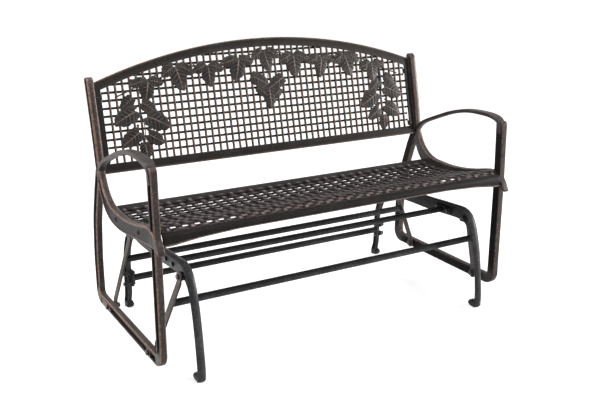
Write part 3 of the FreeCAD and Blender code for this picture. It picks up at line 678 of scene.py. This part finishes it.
def leaf(garland, x, h, size, turn):
    """Heart-shaped leaf as rings round its middle. The edge's radius is the reach at each angle: an oval with a
    drip tip, a notch at the stalk and small teeth. Height is a low dome with a raised midrib, side veins as
    ridges that slant towards the tip, and an edge that waves up and down."""
    points = 72
    ang = np.linspace(0, 2 * pi, points, endpoint=False)
    ring = np.concatenate([np.linspace(0.03, 0.90, 12), [0.96, 1.0]])[:, None]
    from_tip = np.abs(ang - pi) / 0.32
    from_stalk = np.minimum(ang, 2 * pi - ang) / 0.28
    reach = 0.50 + 0.10 * np.cos(2 * ang) + 0.16 * np.exp(-from_tip ** 2) - 0.22 * np.exp(-from_stalk ** 2)
    reach *= 1 + 0.05 * np.sin(13 * ang)
    u, v = ring * (reach * np.sin(ang)), ring * (reach * np.cos(ang))
    side = np.abs(u)
    phase = ((0.35 - v) * 5.2 - side * 3.4) % 1.0
    vein = np.exp(-((phase - 0.5) / 0.17) ** 2) * np.clip(side * 12, 0, 1) * np.clip(1.15 - ring, 0, 1)
    rib = np.exp(-(u / 0.030) ** 2) * np.clip((1 - ring) * 8, 0, 1)
    lift = 2.0 + 1.7 * (1 - ring ** 2.2) + 0.8 * vein + 1.1 * rib + 0.8 * np.sin(3 * ang + turn) * ring ** 2
    lift = np.where(ring >= 0.999, 0.0, np.clip(lift, 0.3, 4.9))
    # between the veins the leaf is painted darker towards its middle: painted shade in the valleys; veins,
    # midrib and edge are rubbed towards copper
    valley = np.clip(1 - 2.5 * vein - 2 * rib, 0, 1)
    rub = 0.85 * vein + 0.9 * rib + 0.75 * (ring > 0.93) * (ring < 0.999) - 0.8 * valley * (1 - ring)
    c, s = cos(radians(turn)), sin(radians(turn))
    across = x + size * 1.15 * (-u * c - v * s)
    upward = h - size * 1.15 * (-u * s + v * c)
    middle = garland.count + np.arange(points)
    garland.sheet(leaned(across, 3.3 + lift, upward), rub, grid_faces(len(ring), points))
    garland.caps += [middle[::-1], middle + points * (len(ring) - 1)]


def stem(garland, points, r0, r1):
    """Round vine of falling thickness along a smooth line on the panel's face."""
    line = spline(points, 12 * len(points))
    r = np.linspace(r0, r1, len(line))[:, None]
    ang = np.radians(np.linspace(0, 360, 8, endpoint=False))
    flat = line[:, None] + normals_2d(line)[:, None] * (r * np.cos(ang))[..., None]
    grid = leaned(flat[..., 0], 4.6 + r * np.sin(ang), flat[..., 1])
    garland.tube(grid, 0.2 + 0.4 * np.clip(np.sin(ang), 0, 1))


def berry(garland, x, h, r):
    """Half-sunk ball on the panel's face."""
    lat = np.radians(np.linspace(-20, 88, 7))[:, None]
    lon = np.linspace(0, 2 * pi, 12, endpoint=False)
    out = 3.9 + 0.9 * np.minimum(r * np.sin(lat), 5.0)
    grid = leaned(x + r * np.cos(lat) * np.cos(lon), out, h + r * np.cos(lat) * np.sin(lon))
    garland.tube(grid, 0.6 * np.sin(np.clip(lat, 0, 2)) ** 2)


def stem_h(x):
    """Height of the long stem: the arch less 30, with a slow wave."""
    return arch(x, inner_r) - 30 + 11 * np.cos(x / 56.0)


def add_swags(garland):
    """Long stem under the arch with a broad leaf, two small leaves and four berries at each of nine places."""
    xs = np.linspace(-540, 540, 31)
    stem(garland, np.stack([xs, stem_h(xs)], 1), 2.4, 2.4)
    for i in range(-4, 5):
        x = i * 108.0
        h = stem_h(x)
        leaf(garland, x, h - 22, 62 if i % 2 else 54, 180 + 14 * (i % 3 - 1))
        for way in (-1, 1):
            leaf(garland, x + way * 27, h - 5, 36 + 4 * (i % 2), 180 - way * (58 + 9 * (i % 3)))
            berry(garland, x + way * 49, h + 4 - 5 * (i % 2), 4.6)
            berry(garland, x + way * 43, h - 9, 3.8)


def add_sprays(garland):
    """Hanging twigs: one down each side and a short one in the middle. Leaves are (x, h, size, turn)."""
    for side in (-1, 1):
        for x, h, size, turn in ((504, 172, 62, 116), (418, 150, 64, 240), (496, 104, 56, 122),
                                 (430, 96, 46, 236), (440, 196, 44, 232), (500, 214, 40, 128),
                                 (462, 62, 42, 184)):
            leaf(garland, side * x, h, size, side * turn)
        twig = [(side * 462, stem_h(462)), (side * 466, 190), (side * 456, 130), (side * 462, 82)]
        stem(garland, twig, 2.4, 1.4)
        for x, h in ((478, 138), (446, 122), (478, 194)):
            berry(garland, side * x, h, 4.4)
    for x, h, size, turn in ((-38, 250, 50, 120), (38, 238, 50, 240), (0, 196, 54, 180), (-30, 212, 36, 132),
                             (32, 202, 36, 228)):
        leaf(garland, x, h, size, turn)
    stem(garland, [(0, stem_h(0)), (3, 270), (-2, 235), (0, 204)], 2.4, 1.4)


relief = Stock()
add_swags(relief)
add_sprays(relief)
relief.make("garland_relief", "seat", "bronze_panels", leaf_paint, ["leaf_garland"], even=False)


# Seat: woven sheet with slots and a rolled front

seat_line = [(133, 417), (110, 411), (46, 406), (-18, 409), (-82, 419.5), (-146, 436), (-208, 453.5),
             (-236, 458)]
nose_r, nose_y, nose_z = 30.5, -236, 427.5
slot_x, slot_s, slot_rows, side_straps, first_row = 36.2, 26.05, 14, 16, 40.3
strap_share, hole_share = (0.195, 0.150), (0.225, 0.178)
strap_wave, hole_chamfer = 1.2, 1.2
apron_run, apron_end, apron_peak = 395, 414.5, 431
sheet_t = 2.6


def seat_side_view():
    """Side view of the skin, with the distance along it: a smooth dish, a quarter round nose and a drop."""
    turn = np.radians(np.linspace(90, -4, 14))[1:, None]
    nose = np.hstack([nose_y - nose_r * np.cos(turn), nose_z + nose_r * np.sin(turn)])
    drop = np.array([(-266.6, 422), (-266.6, 418), (-266.6, 415.5), (-266.6, apron_end)])
    line = np.vstack([spline(seat_line, 400), nose, drop])
    return line, path_run(line)


def strap_cuts(first, last, step, shares):
    """Grid lines at the same shares of the step on both sides of every strap's middle."""
    middles = np.arange(first, last + 1) * step
    shares = np.array(shares) * step
    cuts = np.concatenate([middles[:, None] + shares, middles[:, None] - shares], 1)
    return np.unique(np.round(cuts.ravel(), 4))


def strap_height(across, half, crown):
    """Parabola crown over a strap's width that falls off steeply past its edge."""
    u = np.abs(across) / half
    return crown * (1 - np.minimum(u, 1) ** 2) - 12 * np.clip(u - 1, 0, 0.3)


def ramp(value, width):
    """0 below zero, 1 above the width, and a straight slope between."""
    return np.clip(value / width, 0, 1)


def woven_sheet():
    """Skin of the seat as a grid over x and the distance s along its side view. Upright and level straps are
    crowned bands that wave over and under each other: each adds a cosine along its length, whose sign swaps
    from strap to strap, and the skin follows the higher of the two. Cells between four straps are left out as
    slots, in the front row only near its two ends."""
    line, run_of = seat_side_view()
    xs = strap_cuts(-side_straps, side_straps, slot_x, (0, 0.067, 0.133, strap_share[0], hole_share[0]))
    xs = np.concatenate([[-panel_half + 0.2, -596, -591], xs, [591, 596, panel_half - 0.2]])
    ss = strap_cuts(0, slot_rows, slot_s, (0, 0.05, 0.10, strap_share[1], hole_share[1]))
    ss = first_row - slot_s / 2 + ss
    ss = np.concatenate([[0, 8, 16], ss[ss > 21], run_of[run_of > ss[-1] + 2]])
    s, x = np.meshgrid(ss, xs, indexing="ij")

    col, row = x / slot_x, (s - first_row) / slot_s + 0.5
    near_col, near_row = np.round(col), np.round(row)
    from_col, from_row = col - near_col, row - near_row
    upright = strap_height(from_col * slot_x, strap_share[0] * slot_x, 1.2)
    upright += strap_wave * np.cos(np.pi * near_col) * np.cos(np.pi * row)
    level = strap_height(from_row * slot_s, strap_share[1] * slot_s, 1.0)
    level -= strap_wave * np.cos(np.pi * near_row) * np.cos(np.pi * col)
    woven = np.maximum(np.maximum(upright, level), -2.2)
    in_field = ramp(row + 0.2, 0.15) * ramp(slot_rows + 0.2 - row, 0.15)
    in_field *= ramp(side_straps + 0.3 - np.abs(col), 0.1)
    lift = in_field * (woven - 1.2)

    # the hole corners move in by a chamfer
    corner = np.abs(np.abs(from_col) - hole_share[0]) < 0.01
    corner &= np.abs(np.abs(from_row) - hole_share[1]) < 0.01
    x += np.where(corner, hole_chamfer * np.sign(from_col), 0)
    s_at = s + np.where(corner, hole_chamfer * np.sign(from_row), 0)

    # the skin is lifted along the side view's normal
    way = np.gradient(np.stack([np.interp(ss, run_of, c) for c in line.T], 1), ss, axis=0)
    way /= np.hypot(*way.T)[:, None]
    y = np.interp(s_at, run_of, line[:, 0]) + way[:, 1:] * lift
    z = np.interp(s_at, run_of, line[:, 1]) - way[:, :1] * lift

    # the apron's lower edge rises between its two ends
    foot = np.interp(np.abs(x), [0, panel_half - 230, panel_half - 110, panel_half - 30, panel_half],
                     [apron_peak, apron_peak, 425, 415.5, apron_end])
    z_turn = np.interp(apron_run, run_of, line[:, 1])
    z = np.where(s > apron_run, z_turn + (z - z_turn) * (z_turn - foot) / (z_turn - apron_end), z)

    mid_x = (x[:-1, :-1] + x[1:, 1:]) / 2
    mid_row = ((s[:-1, :-1] + s[1:, 1:]) / 2 - first_row) / slot_s + 0.5
    mid_col = mid_x / slot_x
    hole = (np.abs(mid_col % 1.0 - 0.5) < 0.2) & (np.abs(mid_row % 1.0 - 0.5) < 0.2)
    hole &= (mid_row > 0) & (mid_row < slot_rows) & (np.abs(mid_x) < side_straps * slot_x)
    hole &= (mid_row < slot_rows - 1) | (mid_x < -378) | ((mid_x > 360) & (mid_x < 470))

    # Rub over the weave: low parts between the straps are painted dark as shade, strap tops are painted pale,
    # partly wear and partly a painted highlight, and the apron past the last row is painted darker (-0.4) as
    # shade
    rub = in_field * (woven * 0.78 - 0.85) - 0.4 * ramp(row - slot_rows - 0.15, 0.1)
    # the corners of the front row's closed pockets are painted pale (0.8): a painted highlight
    rub = np.where(corner & (row > slot_rows - 1), 0.8, rub)
    rub = np.where(s > run_of[-1] - 4.0, 1.0, rub)
    skin = Stock()
    skin.sheet(grid_of(x, y, z), rub, grid_faces(*x.shape, around=False)[~hole.reshape(-1)])
    return skin


def seat_flanges():
    """Plates at both ends that the side frames are screwed to, and the lip along the rear edge."""
    high = [(96, 408), (19, 406), (-75, 416), (-169, 439), (-208, 450), (-236, 453)]
    low = [(96, 392), (40, 388), (-60, 395), (-150, 405), (-200, 412), (-240, 420)]
    plate = [(0, 0, panel_half - 5), (0, 0, panel_half - 0.2), (1, 1.2, panel_half - 0.2),
             (1, 0, panel_half - 1.6), (1, 0, panel_half - 3.6), (1, 1.2, panel_half - 5)]
    flange = Stock()
    loft(flange, spline(high, 40), spline(low, 40), [(side, inset, x, x) for side, inset, x in plate],
         rub=[0, 0, 0.3, 0.6, 0.6, 0.3])
    flange.join(flange.mirrored())
    bar_x(flange, -panel_half + gap, panel_half - gap, 130.5, 402.5, 2.4, 13.3, 1.0, 0.4)
    return flange


seat_skin = woven_sheet()
seat_sheet = seat_skin.make("woven_seat_sheet", "seat", "bronze_panels", weave_paint, ["seat_panel"],
                            even=False)
wall = seat_sheet.modifiers.new("wall", "SOLIDIFY")
wall.thickness, wall.offset = sheet_t * 0.001, -1.0
seat_flanges().make("seat_flanges_and_lip", "seat", "bronze_panels", panel_paint, ["seat_panel"])


# Base frames

outer_points = [(-292, 0), (-298, 2.5), (-300.6, 9), (-301, 50), (-294, 105), (-278, 195), (-252, 280),
                (-232, 314), (-200, 332), (-165, 333), (-80, 328), (0, 322.5), (80, 319.5), (160, 316),
                (215, 309), (252, 288), (284, 237), (302, 178), (305, 130), (306, 85), (310, 40),
                (318.5, 10), (317, 3), (310, 0)]
web_points = [(-283, 0), (-282, 50), (-275, 110), (-258, 195), (-226, 262), (-206, 281), (-178, 287.5),
              (-150, 287), (-80, 282), (-10, 277), (75, 275.5), (150, 275), (200, 276.5), (234, 264),
              (264, 216), (283, 164), (286, 130), (285, 90), (288, 45), (299, 0)]
flange_r, fillet_r, web_r, flange_crown = 1.8, 3.0, 2.2, 3.8
toe_mid_z, toe_r = 11.5, 13.0

# Stretchers: middle of the bar, how far its bolts stand from there, and the plates at its ends
front_bar_y, front_bar_z, front_bolt_off = -99.0, 303.0, 25.0
rear_bar_y, rear_bar_z, rear_bolt_off = 287.0, 108.0, 18.0
plate_t = 6.0
plate_face = web_in - 3 - gap


def t_section():
    """T-shaped bar: flange with a parabola crown on the outside of the bend, web towards the inside, with
    quarter-circle edges and fillets. way is 1 on the outer half, -1 on the inner one."""

    def flange_edge(edge, way):
        return [(0, flange_crown + flange_r * (1 - sin(c)), edge - way * flange_r * (1 - cos(c)), 0.5)
                for c in np.radians(np.linspace(80, 0, 5))]

    def web_side(edge, web, way):
        """From the flange's edge round the fillet to the tip of the web."""
        quarter = np.radians(np.linspace(0, 90, 4))
        half = [(0, flange_t - 1.2, edge, 0.2), (0, flange_t - 0.3, edge - way * 0.9, 0.1),
                (0, flange_t, edge - way * 2.0, 0)]
        # the fillet into the web is painted darker (-0.3): painted shade in the crease
        half += [(0, flange_t + fillet_r * (1 - cos(c)), web + way * fillet_r * (1 - sin(c)), -0.3)
                 for c in quarter]
        half += [(1, web_r * (1 - sin(c)), web - way * web_r * (1 - cos(c)), 0.4) for c in quarter]
        return half

    crown = [(0, flange_crown * u ** 2, flange_mid + u * (flange_w / 2 - flange_r), 0.15)
             for u in np.linspace(-0.8, 0.8, 7)]
    pts = flange_edge(flange_in, -1)[::-1] + crown + flange_edge(base_half, 1)
    pts += web_side(base_half, web_out, 1) + web_side(flange_in, web_in, -1)[::-1]
    return [(side, inset, x, x) for side, inset, x, _ in pts], [rub for *_, rub in pts]


def add_toe(base, y0, y1):
    """Foot pad: a roll across the flange with a superellipse side view, drawn in towards both ends
    and flattened on the floor."""
    u = np.linspace(0, 2 * pi, 32, endpoint=False)
    e = np.array([-1, -0.97, -0.9, -0.78, -0.55, 0, 0.55, 0.78, 0.9, 0.97, 1])[:, None]
    k = np.maximum((1 - np.abs(e) ** 3) ** (1 / 3), 0.3)
    x = flange_mid + e * flange_w / 2
    y = (y0 + y1) / 2 + abs(y1 - y0) / 2 * np.sign(np.cos(u)) * np.abs(np.cos(u)) ** 0.85 * (0.55 + 0.45 * k)
    z = np.maximum(toe_mid_z + toe_r * np.sign(np.sin(u)) * np.abs(np.sin(u)) ** 0.9 * k, 0.0)
    base.tube(grid_of(x, y, z), 0.2)


def add_pivot_bosses(base):
    """Bosses through the web that carry the upper pivots, with a collar towards the links."""
    for y in upper_ys:
        turned(base, y, upper_z, [(flange_in, 9.4, 0.3), (flange_in + 0.8, 10, 0.4), (web_in, 12.4, 0.1),
                                  (base_half + 0.2, 13.4, 0.4), (base_half + 1, 12.6, 0.5),
                                  (base_half + 1, 12.0, 0), (base_half + 3, 11.8, 0.5)])


def add_stretcher_pads(base):
    """Pads inside the web that the stretchers' plates meet, and round bosses under the rear nuts."""
    bar_x(base, web_in - 3, web_in + 1, front_bar_y, front_bar_z, 39, 10, 2.5, 0.4)
    bar_x(base, web_in - 3, web_in + 1, rear_bar_y, rear_bar_z, 7, 29, 2.5, 0.4)
    for way in (-1, 1):
        turned(base, rear_bar_y, rear_bar_z + way * rear_bolt_off,
               [(web_in - 0.5, 8.8, 0), (base_half - 6, 9.5, 0.2), (base_half + 0.3, 9.3, 0.4),
                (base_half + 1, 8.4, 0.5)], 28)


def make_stretcher(name, y, z, bar_half_z, plate_half_y, plate_half_z):
    """Bar across the bench with a plate at both ends."""
    bar = Stock()
    # top=-0.7 paints the bar's upper half darker: painted shade
    bar_x(bar, -plate_face + 1, plate_face - 1, y, z, 7, bar_half_z, 2.0, 0.5, top=-0.7)
    for x0, x1 in ((-plate_face, -plate_face + plate_t), (plate_face - plate_t, plate_face)):
        bar_x(bar, x0, x1, y, z, plate_half_y, plate_half_z, 4.0, 0.4)
    bar.make(name + "_bar", "base", "base_frames", charcoal, [name])


base_frame = Stock()
loft(base_frame, spline(outer_points, 170), spline(web_points, 170), *t_section())
add_toe(base_frame, -302.5, -258)
add_toe(base_frame, 284, 317)
add_pivot_bosses(base_frame)
add_stretcher_pads(base_frame)
make_pair(base_frame, "base_casting", "base", "base_frames", charcoal, "base_frame")
make_stretcher("front_stretcher", front_bar_y, front_bar_z, 8.5, 39.0, 10.0)
make_stretcher("rear_stretcher", rear_bar_y, rear_bar_z, 10.0, 10.0, 29.0)
bolt_spots = [(front_bar_y + way * front_bolt_off, front_bar_z, web_out) for way in (-1, 1)]
bolt_spots += [(rear_bar_y, rear_bar_z + way * rear_bolt_off, base_half + 1) for way in (-1, 1)]
make_fastenings("stretcher", "base", bolt_spots, -1, plate_face - plate_t, 5.0, 4.8, 13.0, 3.9)


# Links

def link_piece(upper_y, lower_y):
    """Flat bar with round eyes. Beyond its pivots the half width follows the eye's circle, between them it is
    the larger of the waist and the near circle. The bar steps out to the lower eye by a straight slope."""
    length = hypot(lower_y - upper_y, lower_z - upper_z)
    turn = np.linspace(0, pi / 2, 9)
    run = np.unique(np.concatenate([-eye_r + eye_r * (1 - np.cos(turn)), np.linspace(0, length, 40),
                                    length + eye_r * np.sin(turn)]))

    def eye(d):
        return np.sqrt(np.clip(eye_r ** 2 - d ** 2, 0.3, None))

    near_eye = np.maximum(eye(run) * (run < eye_end), eye(run - length) * (run > length - eye_end))
    between = np.maximum(link_w / 2, near_eye)
    half_w = np.where(run < 0, eye(run), np.where(run > length, eye(run - length), between))[:, None]
    shift = top_x0 + (low_x0 - top_x0) * np.clip((run - link_flat) / (length - 2 * link_flat), 0, 1)
    ahead = np.array([lower_y - upper_y, lower_z - upper_z]) / length
    side = np.array([-ahead[1], ahead[0]])
    centre = np.array([upper_y, upper_z]) + run[:, None] * ahead

    edge = ((1.5, 0, 0.5), (0.4, 0.4, 0.7), (0, 1.5, 0.6), (0, 4.5, 0.6), (0.4, 5.6, 0.7), (1.5, link_t, 0.5))
    section = both_sides([(inset, x, x, value) for inset, x, value in edge])
    link = Stock()
    loft(link, centre + side * half_w, centre - side * half_w, *section, x_shift=shift)
    turned(link, lower_y, lower_z, [(low_x0 - 3, 10, 0.4), (low_x0 - 2.4, 11, 0.5), (low_x0 + 1, 12, 0.1)])
    return link


def cross_bar(upper_y, lower_y):
    """Bar between two links, long enough to meet the slope of both at its height."""
    length = hypot(lower_y - upper_y, lower_z - upper_z)
    part = (upper_z - cross_bar_z) / (upper_z - lower_z)
    y = upper_y + (lower_y - upper_y) * part
    reach = top_x0 + (low_x0 - top_x0) * (part * length - link_flat) / (length - 2 * link_flat)
    bar = Stock()
    # top=-0.7 paints the bar's upper half darker: painted shade
    bar_x(bar, -reach - 1, reach + 1, y, cross_bar_z, 6, 10, 2.0, 0.5, top=-0.7)
    return bar


for upper_y, lower_y, word in zip(upper_ys, lower_ys, ("front", "rear")):
    body = word + "_swing"
    make_pair(link_piece(upper_y, lower_y), word + "_link_bar", body, "link_metal", link_metal, word + "_link")
    bar = cross_bar(upper_y, lower_y)
    bar.make(word + "_cross_bar_piece", body, "link_metal", charcoal, [word + "_cross_bar"])


# Pivot bolts and nuts, and the screws of seat and back

def screw(stock, y, z, length):
    """Pan head with a round dip, on a plain shank; the head is painted near black as the shade of a hole."""
    x = seat_half - 3
    turned(stock, y, z, [(x, 5.6, -1), (x + 1.3, 5.6, -0.7), (x + 2.0, 5.0, -0.3), (x + 2.4, 3.4, -0.8),
                         (x + 2.4, 1.8, -1), (x + 1.4, 0.9, -1)], 24)
    rod(stock, y, z, x - length, x, 2.9)


make_fastenings("upper_pivot", "base", [(y, upper_z, flange_in - gap) for y in upper_ys],
                1, top_x1 + gap, 6.0, 8.0, 15.0, 4.9)
make_fastenings("lower_pivot", "seat", [(y, lower_z, seat_half + gap) for y in lower_ys],
                -1, low_x0 - 3.3, 6.0, 7.9, 15.0, 4.9)
seat_screws, back_screws = Stock(), Stock()
for y, z in seat_screw_spots:
    screw(seat_screws, y, z, 22)
for h in lug_heights:
    _, y, z = leaned(0, 0, h)
    screw(back_screws, y, z, 37)
make_set(seat_screws, "seat_screw_set", "seat", "seat_screws")
make_set(back_screws, "back_screw_set", "seat", "back_screws")


# Camera worked out from the photograph

yaw, tilt, roll = 0.532579, 0.311026, 0.006793
focal_px, photo_px, sensor_mm = 833.985, 590.0, 36.0
eye_place = Vector((-1.35533, -2.23449 + depth_shift * 0.001, 1.19632))
ahead = Vector((sin(yaw) * cos(tilt), cos(yaw) * cos(tilt), -sin(tilt)))
flat = Vector((cos(yaw), -sin(yaw), 0.0))
above = flat.cross(ahead)
right_way = cos(roll) * flat + sin(roll) * above
up_way = -sin(roll) * flat + cos(roll) * above
lens = bpy.data.cameras.new("camera")
lens.sensor_width = sensor_mm
lens.lens = focal_px * sensor_mm / photo_px
camera = add_object("camera", lens)
camera.matrix_world = Matrix.Translation(eye_place) @ Matrix((right_way, up_way, -ahead)).transposed().to_4x4()
bpy.context.scene.camera = camera
bpy.context.scene.view_settings.view_transform = "Standard"


# Studio: a pale floor that keeps the shadow, white further out, and soft lamps

def white_to_the_eye(tree):
    """1 for camera, glossy and transmission rays, 0 for the rest."""
    path = tree.nodes.new("ShaderNodeLightPath")
    both = math_node(tree, "ADD", path.outputs["Is Camera Ray"], path.outputs["Is Glossy Ray"])
    return math_node(tree, "ADD", both, path.outputs["Is Transmission Ray"], clamp=True)


ambient, near_glow = 0.06, 0.72
world = bpy.data.worlds.new("studio")
world.use_nodes = True
sky = world.node_tree
strength = math_node(sky, "MULTIPLY_ADD", white_to_the_eye(sky), 1 - ambient, ambient)
feed(sky, sky.nodes["Background"].inputs, {"Color": (1, 1, 1, 1), "Strength": strength})
bpy.context.scene.world = world

floor_mesh = bpy.data.meshes.new("floor")
floor_mesh.from_pydata([(-30, -30, 0), (30, -30, 0), (30, 60, 0), (-30, 60, 0)], [], [(0, 1, 2, 3)])
floor = add_object("floor", floor_mesh)
pale_floor = bpy.data.materials.new("pale_floor")
pale_floor.use_nodes = True
tree = pale_floor.node_tree
distance = tree.nodes.new("ShaderNodeVectorMath")
distance.operation = "LENGTH"
feed(tree, distance.inputs, {0: tree.nodes.new("ShaderNodeTexCoord").outputs["Object"]})
far = math_node(tree, "MULTIPLY_ADD", distance.outputs["Value"], 0.8, -1.0, clamp=True)
glow = math_node(tree, "MULTIPLY_ADD", far, 1 - near_glow, near_glow)
glow = math_node(tree, "MULTIPLY", glow, white_to_the_eye(tree))
feed(tree, tree.nodes["Principled BSDF"].inputs,
     {"Base Color": (0.7, 0.7, 0.7, 1), "Roughness": 0.9, "Specular IOR Level": 0.0,
      "Emission Color": (1, 1, 1, 1), "Emission Strength": glow})
floor_mesh.materials.append(pale_floor)


def soft_lamp(name, place, aim, size, power):
    """Round lamp turned to its aim."""
    lamp = bpy.data.lights.new(name, "AREA")
    lamp.shape, lamp.size, lamp.energy = "DISK", size, power
    holder = add_object(name, lamp)
    way = Vector(aim) - Vector(place)
    holder.matrix_world = Matrix.Translation(place) @ way.to_track_quat("-Z", "Y").to_matrix().to_4x4()


soft_lamp("overhead", (-0.6, 0.2, 3.2), (0, 0, 0.4), 2.0, 62)
soft_lamp("left_key", (-1.95, 0.35, 1.05), (-0.6, 0, 0.45), 1.0, 28)
soft_lamp("front", (0.5, -2.2, 2.8), (0, 0, 0.5), 1.0, 20)
soft_lamp("right_edge", (3.6, -1.8, 1.2), (0, 0, 0.4), 1.0, 185)
